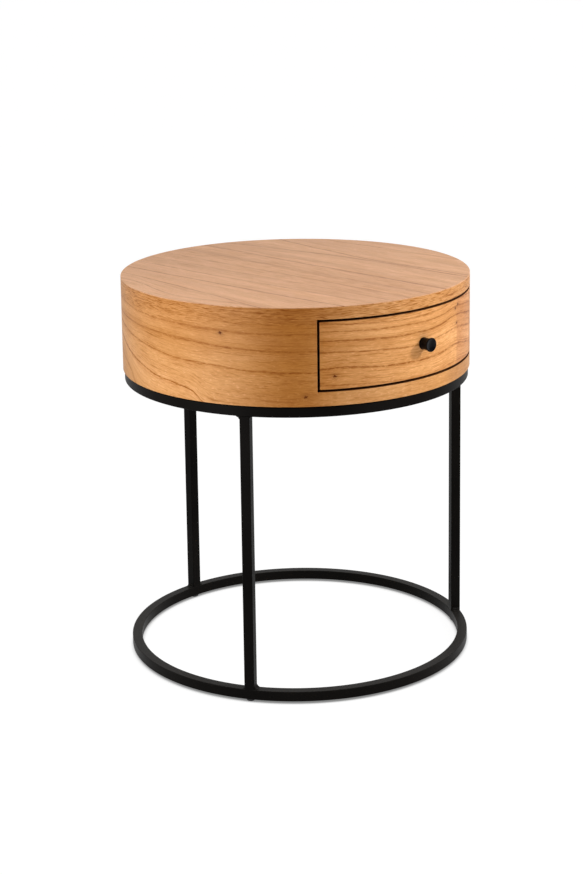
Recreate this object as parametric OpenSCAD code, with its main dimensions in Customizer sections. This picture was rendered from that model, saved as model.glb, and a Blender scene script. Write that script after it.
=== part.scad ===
// Round side table: a veneered drum with one curved drawer, on a frame of square steel tube.
// The drawer opens towards -Y on two ball slides. The floor is at z = 0. The origin is the
// middle of the overall outline on the floor, so the drum's axis stands at y = axis_y.

/* [Drum] */
// Outer diameter of the drum
case_d = 450; // [380:1:560]
// Height of the drum
case_h = 121.5; // [115:0.5:180]
// Thickness of the bent wall and of the drawer front
wall_t = 12; // [9:0.5:15]
// Thickness of the top board, which stands inside the wall
top_t = 14.7; // [12:0.1:20]
// Thickness of the face veneer, which laps over the wall
veneer_t = 0.8; // [0.5:0.1:1.5]
// Thickness of the bottom board
bottom_t = 15; // [12:0.5:16.5]
// Thickness of the partitions that carry the slides
partition_t = 12; // [9:0.5:16]

/* [Drawer] */
// Angle from the middle of the opening to each of its ends
opening_angle = 37.1; // [33:0.1:41]
// Height of the wall under the opening
sill_h = 17.5; // [16.5:0.1:24]
// Gap seen all round the drawer front
reveal = 2.8; // [1.5:0.1:3.5]
// Thickness of the drawer's sides and back
side_t = 12; // [9:0.5:15]
// Height of the drawer's sides
side_h = 62; // [50:1:66]
// Height of the sides above the wall under the opening
side_lift = 6; // [3:0.5:8]
// Thickness of the drawer's bottom
drawer_bottom_t = 6; // [4:0.5:8]
// Height of the drawer's bottom above the lower edge of its sides
bottom_lift = 6; // [4:0.5:10]
// How far the sides and the bottom are let into the drawer front
dado = 4; // [3:0.5:6]
// Depth of the grooves in the sides
groove = 5; // [3:0.5:7]
// Play of a board in its groove, or of a disc in the wall
board_play = 0.1; // [0.05:0.05:0.2]

/* [Slides] */
// Length of a slide
slide_l = 250; // [230:1:270]
// How far the drawer rolls out
slide_travel = 180; // [150:1:190]
// Height of a slide
slide_h = 27; // [25:0.5:32]
// Width of a slide, from partition to drawer side
slide_t = 10; // [10:0.5:13]
// Thickness of the slides' sheet steel
sheet_t = 1.2; // [1:0.1:1.5]
// Diameter of a ball
ball_d = 4; // [3.5:0.1:4.2]
// Running play round a ball
ball_play = 0.35; // [0.3:0.01:0.4]
// Distance between two balls in a row
ball_pitch = 11; // [8:0.5:14]
// Thickness of the rubber bumper at the back of a slide
bumper_t = 3; // [2:0.5:5]
// Distance of the outer screws from a slide's ends
screw_inset = 18; // [12:1:30]
// Clearance between the slide and the edge of the opening
slide_clear = 2.4; // [1.5:0.1:5]
// Play between pieces that meet at rest but move apart
rest_play = 0.3; // [0.2:0.05:0.5]

/* [Frame] */
// Width of the square tube
tube = 12.7; // [10:0.1:20]
// Wall of the square tube
tube_wall = 1.2; // [1:0.1:2]
// Chamfer along the tube's corners
tube_chamfer = 0.7; // [0.5:0.1:1.1]
// Length of a leg between the two rings
leg_l = 349.1; // [250:0.1:500]
// How far the rings stand inside the drum's face
ring_inset = 2; // [0:0.1:8]
// Leg of the fillet welds
weld = 4.5; // [2:0.1:6]
// Width of the tabs that hold the drum
tab_w = 30; // [20:1:40]
// Reach of the tabs inside the top ring
tab_l = 26; // [20:1:36]
// Thickness of the tabs
tab_t = 3; // [2:0.5:4]
// How far the tabs stand proud of the top ring, which leaves a shadow gap under the drum
tab_proud = 1; // [0.5:0.1:1.5]
// Diameter of a glide
glide_d = 11; // [8:0.5:12]
// Height of a glide under the ring
glide_h = 3; // [2:0.5:8]
// Diameter of a glide's stem
glide_stem_d = 6; // [4:0.5:7]
// Length of a glide's stem
glide_stem_l = 6; // [4:0.5:9]

/* [Knob] */
// Diameter of the knob's rim
knob_rim_d = 17.6; // [14:0.1:24]
// Diameter of the knob's foot
knob_foot_d = 15.4; // [12:0.1:20]
// Diameter of the knob's waist
knob_waist_d = 14.8; // [11:0.1:18]
// How far the knob stands out
knob_l = 14; // [12:0.5:26]
// Depth of the dish in the knob's face
knob_dish = 1.6; // [0.5:0.1:3]
// Diameter of the knob's screw
knob_screw_d = 4; // [3:0.5:5]
// How far the screw reaches into the knob
knob_thread_l = 8; // [6:0.5:9]

/* [Screws] */
// Diameter of the wood screws
screw_d = 3.5; // [3:0.1:3.8]
// Length of a slide screw in the wood
screw_l = 9; // [6:0.5:10]
// Diameter of the screws that hold the drum
case_screw_d = 4; // [3:0.1:5]
// Length of those screws in the bottom board
case_screw_l = 11; // [8:0.5:11.5]
// Play of a screw in its hole
screw_play = 0.1; // [0.05:0.05:0.2]

/* [Hidden] */

// Fineness of the large circles and of the small ones
big_fn = 180;
small_fn = 40;
// How far a cutting shape runs past what it cuts
past = 1;

// Radii of the drum and of the rings
case_r = case_d / 2;
inner_r = case_r - wall_t;
ring_r = case_r - ring_inset;
leg_r = ring_r - tube / 2;

// Heights, from the floor up
base_z = glide_h;
leg_z = base_z + tube;
top_ring_z = leg_z + leg_l;
case_z = top_ring_z + tube + tab_proud;
sill_z = case_z + sill_h;
board_z = case_z + bottom_t;
case_top_z = case_z + case_h;
lap_z = case_top_z - veneer_t;
head_z = lap_z - top_t;
side_z = sill_z + side_lift;
tray_z = side_z + bottom_lift;
slide_z = side_z + side_h / 2 + 3;

// The drum's axis, set so that the origin is the middle of the outline
axis_y = knob_l / 2;

// Widths across the drawer
opening_x = inner_r * sin(opening_angle);
partition_x = opening_x - slide_clear;
side_x = partition_x - slide_t;
side_in_x = side_x - side_t;
partition_y = sqrt(pow(inner_r, 2) - pow(partition_x + partition_t, 2)) - 1;

// The drawer front's half angle, with the reveal taken at the drum's face
front_angle = opening_angle - asin(reveal / case_r);
front_z = sill_z + reveal;
front_h = head_z - reveal - front_z;
knob_z = front_z + front_h / 2;

// Places along the slides
slide_y = 3 - partition_y;
cage_l = slide_l - slide_travel;
cage_y = slide_y + slide_travel / 2;
back_y = slide_y + slide_l - 4;
slide_inner_l = slide_l - bumper_t - rest_play;

// The slide's section: u runs from the partition to the drawer side, v is height
ball_r = ball_d / 2;
race_r = ball_r + ball_play;
race_v = slide_h / 2 - sheet_t + 0.25 - race_r;
race_u = slide_t / 2 + 0.2;
outer_lip_v = race_v + 1.4;
inner_lip_v = race_v - 1.4;
cage_u = sheet_t + 0.4;
cage_t = 0.6;
cage_half = 0.6;
balls_in_row = floor((cage_l - 2 * ball_d) / ball_pitch) + 1;
slide_screw_ys = [screw_inset, slide_l / 2, slide_l - screw_inset];
// The sunk head in a slide's web
sink_h = sheet_t - 0.1;
sink_d = 1.8 * screw_d;

// Directions, counted from +X towards +Y; the drawer opens at 270
leg_angles = [90, 210, 330];
tab_angles = [270, 30, 150];
tab_hole_r = ring_r - tube - tab_l / 2;

// Everything is drawn about the drum's axis and then set on the origin
module placed() {
    translate([0, axis_y, 0]) children();
}

module mirrored(side) {
    if (side < 0) mirror([1, 0, 0]) children();
    else children();
}

module disc(r, h, z) {
    translate([0, 0, z]) cylinder(r = r, h = h, $fn = big_fn);
}

// A block of the drum's wall from -angle to +angle about the drawer's direction
module wall_sector(r1, r2, angle, z, h) {
    rotate([0, 0, 270 - angle])
        rotate_extrude(angle = 2 * angle, $fn = big_fn)
            translate([r1, z]) square([r2 - r1, h]);
}

// A round bar along X at the slides' height, from x0 with diameter d0 to x1 with diameter d1
module bar_x(x0, x1, y, d0, d1) {
    translate([x0, y, slide_z])
        rotate([0, 90, 0])
            cylinder(d1 = d0, d2 = d1, h = x1 - x0, $fn = small_fn);
}

module hole_x(x0, x1, y, d) {
    bar_x(x0, x1, y, d, d);
}

// ---- drum ----

module top_panel() {
    color("burlywood") placed() {
        disc(inner_r - board_play, top_t, head_z);
        disc(case_r, veneer_t, lap_z);
    }
}

module case_wall() {
    color("peru") placed() difference() {
        disc(case_r, case_h - veneer_t, case_z);
        disc(inner_r, case_h + 2 * past, case_z - past);
        wall_sector(inner_r - past, case_r + past, opening_angle, sill_z, head_z - sill_z);
    }
}

module bottom_panel() {
    color("tan") placed() difference() {
        disc(inner_r - board_play, bottom_t, case_z);
        for (a = tab_angles)
            rotate([0, 0, a])
                translate([tab_hole_r, 0, case_z - past])
                    cylinder(d = case_screw_d + screw_play, h = case_screw_l + past + 0.5, $fn = small_fn);
    }
}

module partition(side) {
    color("tan") placed() mirrored(side) difference() {
        translate([partition_x, -partition_y, board_z])
            cube([partition_t, 2 * partition_y, head_z - board_z]);
        for (y = slide_screw_ys)
            hole_x(partition_x - past, partition_x + screw_l + 0.5, slide_y + y, screw_d + screw_play);
    }
}

// ---- drawer ----

// The outline that the drawer's boards reach to inside the front, grown by the play given
module dado_limit(play) {
    disc(inner_r + dado + play, front_h + 2 * past, front_z - past);
}

module side_blank(side, play) {
    mirrored(side) intersection() {
        translate([side_in_x - play, -case_r, side_z - play])
            cube([side_t + 2 * play, case_r + back_y, side_h + 2 * play]);
        dado_limit(play);
    }
}

module tray_blank(play) {
    half = side_in_x + groove + play;
    intersection() {
        translate([-half, -case_r, tray_z - play])
            cube([2 * half, case_r + back_y, drawer_bottom_t + 2 * play]);
        dado_limit(play);
    }
}

module drawer_front() {
    color("peru") placed() difference() {
        wall_sector(inner_r, case_r, front_angle, front_z, front_h);
        for (side = [-1, 1]) side_blank(side, board_play);
        tray_blank(board_play);
        translate([0, past - inner_r, knob_z])
            rotate([90, 0, 0])
                cylinder(d = knob_screw_d + 2 * screw_play, h = wall_t + 2 * past, $fn = small_fn);
    }
}

module drawer_side(side) {
    color("wheat") placed() difference() {
        side_blank(side, 0);
        tray_blank(board_play);
        mirrored(side)
            for (y = slide_screw_ys)
                hole_x(side_x - screw_l - 0.5, side_x + past, slide_y + y, screw_d + screw_play);
    }
}

module drawer_back() {
    color("wheat") placed()
        translate([-side_in_x, back_y - side_t, tray_z + drawer_bottom_t])
            cube([2 * side_in_x, side_t, side_h - bottom_lift - drawer_bottom_t]);
}

module drawer_bottom() {
    color("wheat") placed() tray_blank(0);
}

// The knob's outline: distance from the axis, and distance from the drawer front
module knob_section() {
    rim_r = knob_rim_d / 2;
    difference() {
        polygon([
            [0, 0], [knob_foot_d / 2, 0], [knob_foot_d / 2, 1.2],
            [knob_waist_d / 2 + 0.15, 2.6], [knob_waist_d / 2, 4.2],
            [knob_waist_d / 2 + 0.2, knob_l * 0.45], [rim_r - 0.45, knob_l - 2.6],
            [rim_r, knob_l - 1.3], [rim_r, knob_l - 0.5], [rim_r - 0.5, knob_l],
            [rim_r - 1.1, knob_l], [0, knob_l]
        ]);
        // The dish is part of a circle that passes through the rim and the middle of the dish
        dish_r = (pow(rim_r - 1.1, 2) + pow(knob_dish, 2)) / (2 * knob_dish);
        translate([0, knob_l - knob_dish + dish_r]) circle(r = dish_r, $fn = big_fn);
        translate([0, -past])
            square([knob_screw_d / 2 + screw_play / 2, knob_thread_l + past + 0.5]);
    }
}

module knob() {
    color("black") placed()
        translate([0, -case_r, knob_z])
            rotate([90, 0, 0])
                rotate_extrude($fn = 96)
                    intersection() {
                        knob_section();
                        square([knob_rim_d, knob_l]);
                    }
}

module knob_screw() {
    head_h = 2.4;
    head_y = head_h + 0.05 - inner_r;
    color("silver") placed()
        translate([0, head_y, knob_z])
            rotate([90, 0, 0]) {
                cylinder(d = 2 * knob_screw_d, h = head_h, $fn = small_fn);
                cylinder(d = knob_screw_d, h = head_h + wall_t + knob_thread_l, $fn = small_fn);
            }
}

// ---- slides ----

// Draws a slide section along the slide, from y0 to y0 + l
module along_slide(side, y0, l) {
    placed() mirrored(side)
        translate([partition_x, y0 + l, slide_z])
            rotate([90, 0, 0])
                linear_extrude(l)
                    mirror([1, 0]) children();
}

module races() {
    for (v = [-1, 1])
        translate([race_u, v * race_v]) circle(r = race_r, $fn = small_fn);
}

// A channel with its web at u1 and its lips running to u2
module outer_section() {
    difference() {
        translate([0, -slide_h / 2]) square([slide_t - 1.4, slide_h]);
        translate([sheet_t, -outer_lip_v]) square([slide_t, 2 * outer_lip_v]);
        races();
    }
}

module inner_section() {
    lip_in_v = race_v - race_r - 0.85;
    difference() {
        translate([cage_u + 1, -inner_lip_v]) square([slide_t - cage_u - 1, 2 * inner_lip_v]);
        translate([0, -lip_in_v]) square([slide_t - sheet_t, 2 * lip_in_v]);
        races();
    }
}

module cage_section() {
    outer_v = race_v + cage_half;
    inner_v = race_v - cage_half;
    difference() {
        translate([cage_u, -outer_v]) square([slide_t - cage_u - 2.2, 2 * outer_v]);
        translate([cage_u + cage_t, -inner_v]) square([slide_t, 2 * inner_v]);
    }
}

// The balls' places, or anything that goes with them
module at_balls(side) {
    first = cage_y + (cage_l - (balls_in_row - 1) * ball_pitch) / 2;
    placed() mirrored(side)
        for (i = [0:balls_in_row - 1])
            for (v = [-1, 1])
                translate([partition_x - race_u, first + i * ball_pitch, slide_z + v * race_v])
                    children();
}

module slide_outer(side) {
    color("lightgray") difference() {
        along_slide(side, slide_y, slide_l) outer_section();
        placed() mirrored(side)
            for (y = slide_screw_ys) {
                hole_x(partition_x - past, partition_x + past, slide_y + y, screw_d + 2 * screw_play);
                sunk_head(slide_y + y, screw_play);
                hole_x(partition_x - sheet_t - past, partition_x - sink_h, slide_y + y, sink_d + 2 * screw_play);
            }
    }
}

// The sunk head of a screw in a slide's web, its wide end towards the drawer
module sunk_head(y, play) {
    bar_x(partition_x - sink_h, partition_x, y, sink_d + 2 * play, screw_d + 2 * play);
}

module slide_inner(side) {
    color("silver") difference() {
        along_slide(side, slide_y, slide_inner_l) inner_section();
        placed() mirrored(side)
            for (y = slide_screw_ys)
                hole_x(side_x - past, side_x + sheet_t + past, slide_y + y, screw_d + 2 * screw_play);
    }
}

module ball_cage(side) {
    color("gold") difference() {
        along_slide(side, cage_y, cage_l) cage_section();
        at_balls(side)
            translate([0, 0, -cage_half - past])
                cylinder(d = ball_d + 0.1, h = 2 * (cage_half + past), $fn = small_fn);
    }
}

module balls(side) {
    color("gainsboro") at_balls(side) sphere(d = ball_d, $fn = small_fn);
}

module bumper(side) {
    half_v = race_v - race_r - 1.6;
    color("dimgray")
        along_slide(side, slide_y + slide_l - bumper_t, bumper_t)
            translate([sheet_t, -half_v]) square([slide_t - sheet_t - 1.4, 2 * half_v]);
}

module case_slide_screws() {
    color("silver") placed()
        for (side = [-1, 1])
            mirrored(side)
                for (y = slide_screw_ys) {
                    hole_x(partition_x - sink_h / 2, partition_x + screw_l, slide_y + y, screw_d);
                    sunk_head(slide_y + y, 0);
                }
}

module drawer_slide_screws() {
    head_h = 1.6;
    color("silver") placed()
        for (side = [-1, 1])
            mirrored(side)
                for (y = slide_screw_ys) {
                    hole_x(side_x - screw_l, side_x + sheet_t + head_h, slide_y + y, screw_d);
                    hole_x(side_x + sheet_t, side_x + sheet_t + head_h, slide_y + y, 2 * screw_d - 0.6);
                }
}

// ---- frame ----

module chamfered_square(w, c) {
    h = w / 2;
    polygon([
        [h - c, -h], [h, c - h], [h, h - c], [h - c, h],
        [c - h, h], [-h, h - c], [-h, c - h], [c - h, -h]
    ]);
}

module tube_section() {
    difference() {
        chamfered_square(tube, tube_chamfer);
        square(tube - 2 * tube_wall, center = true);
    }
}

module ring(z) {
    placed()
        rotate_extrude($fn = big_fn)
            translate([leg_r, z + tube / 2]) tube_section();
}

module at_angle(a) {
    placed() rotate([0, 0, a]) children();
}

module top_ring() {
    color("#202022") ring(top_ring_z);
}

module base_ring() {
    color("#202022") difference() {
        ring(base_z);
        for (a = leg_angles)
            at_angle(a)
                translate([leg_r, 0, base_z - past])
                    cylinder(d = glide_stem_d + 2 * screw_play, h = tube_wall + 2 * past, $fn = small_fn);
    }
}

module leg(i) {
    color("#202022")
        at_angle(leg_angles[i])
            translate([leg_r, 0, leg_z]) linear_extrude(leg_l) tube_section();
}

// A hollow fillet with its corner at the origin, between +X and +Y
module fillet_section() {
    difference() {
        square(weld);
        translate([weld, weld]) circle(r = weld * 0.93, $fn = small_fn);
    }
}

// The fillets on both sides of a leg, on the ring below it
module weld_pair() {
    bead_l = tube - 2 * tube_chamfer - 1;
    for (side = [-1, 1])
        mirror([0, side < 0 ? 1 : 0, 0])
            translate([leg_r - bead_l / 2, tube / 2, 0])
                rotate([90, 0, 90]) linear_extrude(bead_l) fillet_section();
}

module welds() {
    color("#18181a")
        for (a = leg_angles)
            at_angle(a) {
                translate([0, 0, leg_z]) weld_pair();
                translate([0, 0, top_ring_z]) mirror([0, 0, 1]) weld_pair();
            }
}

module tab(i) {
    ring_in_r = ring_r - tube;
    color("#202022")
        at_angle(tab_angles[i])
            difference() {
                intersection() {
                    translate([ring_in_r - tab_l, -tab_w / 2, case_z - tab_t])
                        cube([tab_l + past, tab_w, tab_t]);
                    disc(ring_in_r, tab_t, case_z - tab_t);
                }
                translate([tab_hole_r, 0, case_z - tab_t - past])
                    cylinder(d = case_screw_d + 1, h = tab_t + 2 * past, $fn = small_fn);
            }
}

module case_screws() {
    head_h = 2.6;
    color("silver")
        for (a = tab_angles)
            at_angle(a)
                translate([tab_hole_r, 0, case_z - tab_t - head_h]) {
                    cylinder(d = 2 * case_screw_d, h = head_h, $fn = small_fn);
                    cylinder(d = case_screw_d, h = head_h + tab_t + case_screw_l, $fn = small_fn);
                }
}

module glide(i) {
    color("dimgray")
        at_angle(leg_angles[i])
            translate([leg_r, 0, 0]) {
                cylinder(d1 = glide_d - 1.6, d2 = glide_d, h = 0.8, $fn = small_fn);
                translate([0, 0, 0.8]) cylinder(d = glide_d, h = glide_h - 0.8, $fn = small_fn);
                cylinder(d = glide_stem_d, h = glide_h + glide_stem_l, $fn = small_fn);
            }
}

top_panel();
case_wall();
bottom_panel();
partition(-1);  // partition_left
partition(1);  // partition_right
drawer_front();
drawer_side(-1);  // drawer_side_left
drawer_side(1);  // drawer_side_right
drawer_back();
drawer_bottom();
knob();
knob_screw();
slide_outer(-1);  // slide_outer_left
slide_outer(1);  // slide_outer_right
slide_inner(-1);  // slide_inner_left
slide_inner(1);  // slide_inner_right
ball_cage(-1);  // ball_cage_left
ball_cage(1);  // ball_cage_right
balls(-1);  // balls_left
balls(1);  // balls_right
bumper(-1);  // bumper_left
bumper(1);  // bumper_right
case_slide_screws();
drawer_slide_screws();
top_ring();
base_ring();
leg(1);  // leg_left
leg(2);  // leg_right
leg(0);  // leg_back
welds();
tab(0);  // tab_front
tab(2);  // tab_left
tab(1);  // tab_right
case_screws();
glide(1);  // glide_left
glide(2);  // glide_right
glide(0);  // glide_back
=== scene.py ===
"""Looks of a round side table: a veneered drum with one curved drawer, on a frame of square steel tube.

Everything is in metres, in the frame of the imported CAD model. Lengths written as N * MM are millimetres.
For veneer, lamps and camera, angles round the drum are in degrees from the drawer's middle towards +X.
For meshes they are in degrees from +X towards +Y.
"""
import math

import bmesh
import bpy
from mathutils import Matrix, Vector, noise


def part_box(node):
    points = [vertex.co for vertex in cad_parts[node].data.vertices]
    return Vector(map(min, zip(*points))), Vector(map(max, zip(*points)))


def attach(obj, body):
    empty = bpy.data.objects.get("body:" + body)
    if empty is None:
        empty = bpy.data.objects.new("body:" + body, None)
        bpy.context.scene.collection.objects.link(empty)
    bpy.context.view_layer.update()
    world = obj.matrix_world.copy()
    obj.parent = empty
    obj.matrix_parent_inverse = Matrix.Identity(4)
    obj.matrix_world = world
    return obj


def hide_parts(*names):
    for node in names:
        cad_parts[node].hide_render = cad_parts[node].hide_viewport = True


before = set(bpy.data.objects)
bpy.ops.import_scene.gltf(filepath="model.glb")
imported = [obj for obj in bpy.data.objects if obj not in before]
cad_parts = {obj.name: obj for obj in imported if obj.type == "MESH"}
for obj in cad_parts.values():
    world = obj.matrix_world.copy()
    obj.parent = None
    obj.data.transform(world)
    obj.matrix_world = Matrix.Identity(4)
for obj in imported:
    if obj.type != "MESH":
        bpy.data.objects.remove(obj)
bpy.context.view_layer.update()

MM = 0.001

# ---- sizes from the frame ----

WALL_LO, WALL_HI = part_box("case_wall")
TOP_LO, TOP_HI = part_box("top_panel")
FRONT_LO, FRONT_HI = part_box("drawer_front")
RING_LO, RING_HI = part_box("base_ring")
TOP_RING_LO, TOP_RING_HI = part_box("top_ring")
KNOB_LO, KNOB_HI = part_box("knob")
TAB_LO, TAB_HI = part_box("tab_front")
GLIDE_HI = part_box("glide_back")[1]
CASE_SCREW_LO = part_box("case_screws")[0]

AXIS_Y = (WALL_LO.y + WALL_HI.y) / 2
DRUM_R = WALL_HI.x
CASE_Z, LAP_Z = WALL_LO.z, WALL_HI.z
HEAD_Z, TABLE_Z = TOP_LO.z, TOP_HI.z
REVEAL = HEAD_Z - FRONT_HI.z
SILL_Z = FRONT_LO.z - REVEAL
FRONT_ANGLE = math.degrees(math.asin(FRONT_HI.x / DRUM_R))
OPENING_ANGLE = FRONT_ANGLE + math.degrees(math.asin(REVEAL / DRUM_R))
INNER_R = (AXIS_Y - FRONT_HI.y) / math.cos(math.radians(FRONT_ANGLE))

TUBE = RING_HI.z - RING_LO.z
RING_R = RING_HI.x
LEG_R = RING_R - TUBE / 2
LEG_Z = RING_HI.z
LEG_TOP_Z = TOP_RING_LO.z
KNOB_Z = (KNOB_LO.z + KNOB_HI.z) / 2
KNOB_R = KNOB_HI.x
KNOB_L = KNOB_HI.y - KNOB_LO.y

DRAWER_ANGLE = -90
LEGS = {"left": 210, "right": 330, "back": 90}
TABS = {"front": 270, "left": 150, "right": 30}

# ---- camera ----

CAM_AZIMUTH = -43.4
CAM_DISTANCE = 2.527
CAM_HEIGHT = 1.008
CAM_YAW, CAM_PITCH, CAM_ROLL = 1.014, 11.368, -0.548
CAM_LENS = 82.07
CAM_SHIFT = (-0.044, -0.1914)

# ---- light ----

# Each lamp: its angle, distance from the drum's axis, height, its face's width and length, and its power in W
LAMPS = {
    "softbox_left": (-85, 0.55, 0.50, 0.30, 0.80, 2.05),
    "softbox_right": (-3, 0.50, 0.50, 0.25, 0.80, 0.68),
    "softbox_high": (36, 1.60, 1.15, 0.26, 0.26, 18.6),
}
SKY_BACK, SKY_ABOVE = 0.7, 0.60
# The cosines between which the sky behind, its mirror image and the sky above come in
BACK_RANGE, MIRRORED_RANGE, ABOVE_RANGE = (-0.1, 0.5), (0.1, 0.4), (0.5, 0.9)
# The floor's grey in bounced light and seen, and its glow when seen
FLOOR_SIZE, FLOOR_GREY, FLOOR_TINT, FLOOR_GLOW = 30, 0.7, 0.13, 0.93
# Painted contact shadow: the glow falls off under and round the object's feet
CONTACT_SHADOW_REACH, CONTACT_SHADOW_SAMPLES = 8 * MM, 16
CONTACT_SHADOW_OPEN, CONTACT_SHADOW_GLOW = (0.15, 0.9), (0.25, 1.0)


def round_axis(azimuth, distance, height):
    """The point at an angle from the drawer's middle, a distance from the drum's axis and a height."""
    a = math.radians(azimuth)
    return Vector((math.sin(a) * distance, AXIS_Y - math.cos(a) * distance, height))


def make_camera():
    """The camera stands where the photograph's did."""
    data = bpy.data.cameras.new("camera")
    data.lens = CAM_LENS
    data.shift_x, data.shift_y = CAM_SHIFT
    camera = bpy.data.objects.new("camera", data)
    turn = Matrix.Rotation(math.radians(CAM_AZIMUTH - CAM_YAW), 4, "Z")
    tilt = Matrix.Rotation(math.radians(90 - CAM_PITCH), 4, "X")
    roll = Matrix.Rotation(math.radians(CAM_ROLL), 4, "Z")
    place = Matrix.Translation(round_axis(CAM_AZIMUTH, CAM_DISTANCE, CAM_HEIGHT))
    camera.matrix_world = place @ turn @ tilt @ roll
    bpy.context.scene.collection.objects.link(camera)
    bpy.context.scene.camera = camera


# ---- node trees ----

# The colour sockets of a Mix node
MIX_FIRST, MIX_SECOND, MIX_RESULT = 6, 7, 2
# How rows of grain are shifted along it: the pace across rows, the step between seeds, and the reach
STAGGER_PACE, STAGGER_SEED, STAGGER_REACH = 0.45, 3.7, 2.2


class Tree:
    """Short calls that add nodes to one tree. A value is a number or another node's output."""

    def __init__(self, node_tree):
        self.tree = node_tree
        self.nodes = node_tree.nodes

    def put(self, socket, value):
        if isinstance(value, bpy.types.NodeSocket):
            self.tree.links.new(value, socket)
        else:
            socket.default_value = value

    def add(self, kind, **settings):
        node = self.nodes.new("ShaderNode" + kind)
        for key, value in settings.items():
            setattr(node, key, value)
        return node

    def math(self, operation, *values):
        node = self.add("Math", operation=operation)
        for socket, value in zip(node.inputs, values):
            self.put(socket, value)
        return node.outputs[0]

    def plus(self, *values):
        total = values[0]
        for value in values[1:]:
            total = self.math("ADD", total, value)
        return total

    def times(self, *values):
        total = values[0]
        for value in values[1:]:
            total = self.math("MULTIPLY", total, value)
        return total

    def minus(self, first, second):
        return self.math("SUBTRACT", first, second)

    def over(self, first, second):
        return self.math("DIVIDE", first, second)

    def most(self, first, second):
        return self.math("MAXIMUM", first, second)

    def length(self, x, y):
        return self.math("SQRT", self.plus(self.times(x, x), self.times(y, y)))

    def bell(self, distance, width):
        """1 at distance 0, falling to 0.37 at the width."""
        reach = self.over(distance, width)
        return self.math("EXPONENT", self.times(reach, reach, -1))

    def ramp(self, value, from_lo, from_hi, to_lo=0.0, to_hi=1.0, smooth=True):
        kind = "SMOOTHSTEP" if smooth else "LINEAR"
        node = self.add("MapRange", interpolation_type=kind)
        for socket, number in zip(node.inputs, (value, from_lo, from_hi, to_lo, to_hi)):
            self.put(socket, number)
        return node.outputs[0]

    def combine(self, x, y, z):
        node = self.add("CombineXYZ")
        for socket, value in zip(node.inputs, (x, y, z)):
            self.put(socket, value)
        return node.outputs[0]

    def noise(self, vector, detail=2.0, roughness=0.5):
        node = self.add("TexNoise")
        self.put(node.inputs["Vector"], vector)
        node.inputs["Scale"].default_value = 1.0
        node.inputs["Detail"].default_value = detail
        node.inputs["Roughness"].default_value = roughness
        return node.outputs["Fac"]

    def grain(self, along, across, length, width, seed, detail=2.0, roughness=0.5):
        """Noise in patches of about this length along the grain and this width across it."""
        v = self.over(across, width)
        stagger = self.add("TexNoise", noise_dimensions="1D")
        self.put(stagger.inputs["W"], self.math("MULTIPLY_ADD", v, STAGGER_PACE, seed * STAGGER_SEED))
        stagger.inputs["Scale"].default_value = 1.0
        stagger.inputs["Detail"].default_value = 1.0
        shift = self.times(stagger.outputs["Fac"], STAGGER_REACH)
        u = self.plus(self.over(along, length), shift)
        return self.noise(self.combine(u, v, seed), detail, roughness)

    def curve(self, value, value_range, points, point_range):
        """A smooth curve through (value, result) points within two ranges."""
        lo, hi = value_range
        base, top = point_range
        node = self.add("FloatCurve")
        places = [((x - lo) / (hi - lo), (y - base) / (top - base)) for x, y in points]
        line = node.mapping.curves[0]
        line.points[0].location = places[0]
        line.points[1].location = places[-1]
        for place in places[1:-1]:
            line.points.new(*place)
        node.mapping.update()
        self.put(node.inputs["Value"], self.ramp(value, lo, hi, smooth=False))
        return self.math("MULTIPLY_ADD", node.outputs[0], top - base, base)

    def mix(self, factor, first, second, blend="MIX"):
        node = self.add("Mix", data_type="RGBA", blend_type=blend)
        self.put(node.inputs[0], factor)
        for socket, value in ((node.inputs[MIX_FIRST], first), (node.inputs[MIX_SECOND], second)):
            self.put(socket, (*value, 1) if isinstance(value, tuple) else value)
        return node.outputs[MIX_RESULT]

    def grey(self, value):
        return self.combine(value, value, value)

    def bump(self, height, distance, strength):
        node = self.add("Bump")
        node.inputs["Strength"].default_value = strength
        node.inputs["Distance"].default_value = distance
        self.put(node.inputs["Height"], height)
        return node.outputs[0]

    def split(self, vector):
        node = self.add("SeparateXYZ")
        self.put(node.inputs[0], vector)
        return node.outputs[:]

    def place(self):
        """x, y and z in the piece's own frame, which is the CAD frame at rest."""
        return self.split(self.add("TexCoord").outputs["Object"])

    def normal(self):
        return self.split(self.add("NewGeometry").outputs["True Normal"])

    def round_place(self):
        """The angle round the drum in degrees, the distance from its axis, and the height."""
        x, y, z = self.place()
        back = self.minus(AXIS_Y, y)
        angle = self.times(self.math("ARCTAN2", x, back), 180 / math.pi)
        return angle, self.length(x, back), z


def new_material(name):
    """A material, its tree and its shader."""
    material = bpy.data.materials.new(name)
    material.use_nodes = True
    tree = Tree(material.node_tree)
    return material, tree, tree.nodes["Principled BSDF"]


def dress(t, shader, tone, roughness, normal, gloss=None):
    """Give a shader its colour, roughness, relief and, if it isn't Blender's own, gloss."""
    t.put(shader.inputs["Base Color"], tone)
    t.put(shader.inputs["Roughness"], roughness)
    t.put(shader.inputs["Normal"], normal)
    if gloss is not None:
        shader.inputs["Specular IOR Level"].default_value = gloss


# ---- veneer ----

# Each veneer: its usual, pale and deep tones, and what a tone is multiplied by in a growth line
WALL_WOOD = ((0.61, 0.29, 0.095), (0.70, 0.355, 0.14), (0.42, 0.145, 0.014), (0.52, 0.31, 0.02))
FRONT_WOOD = ((0.67, 0.315, 0.105), (0.82, 0.42, 0.165), (0.43, 0.145, 0.014), (0.44, 0.25, 0.02))
TOP_WOOD = ((0.71, 0.38, 0.20), (0.79, 0.435, 0.23), (0.62, 0.295, 0.14), (0.40, 0.22, 0.08))
KNOT = (0.13, 0.028, 0.001)
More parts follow.
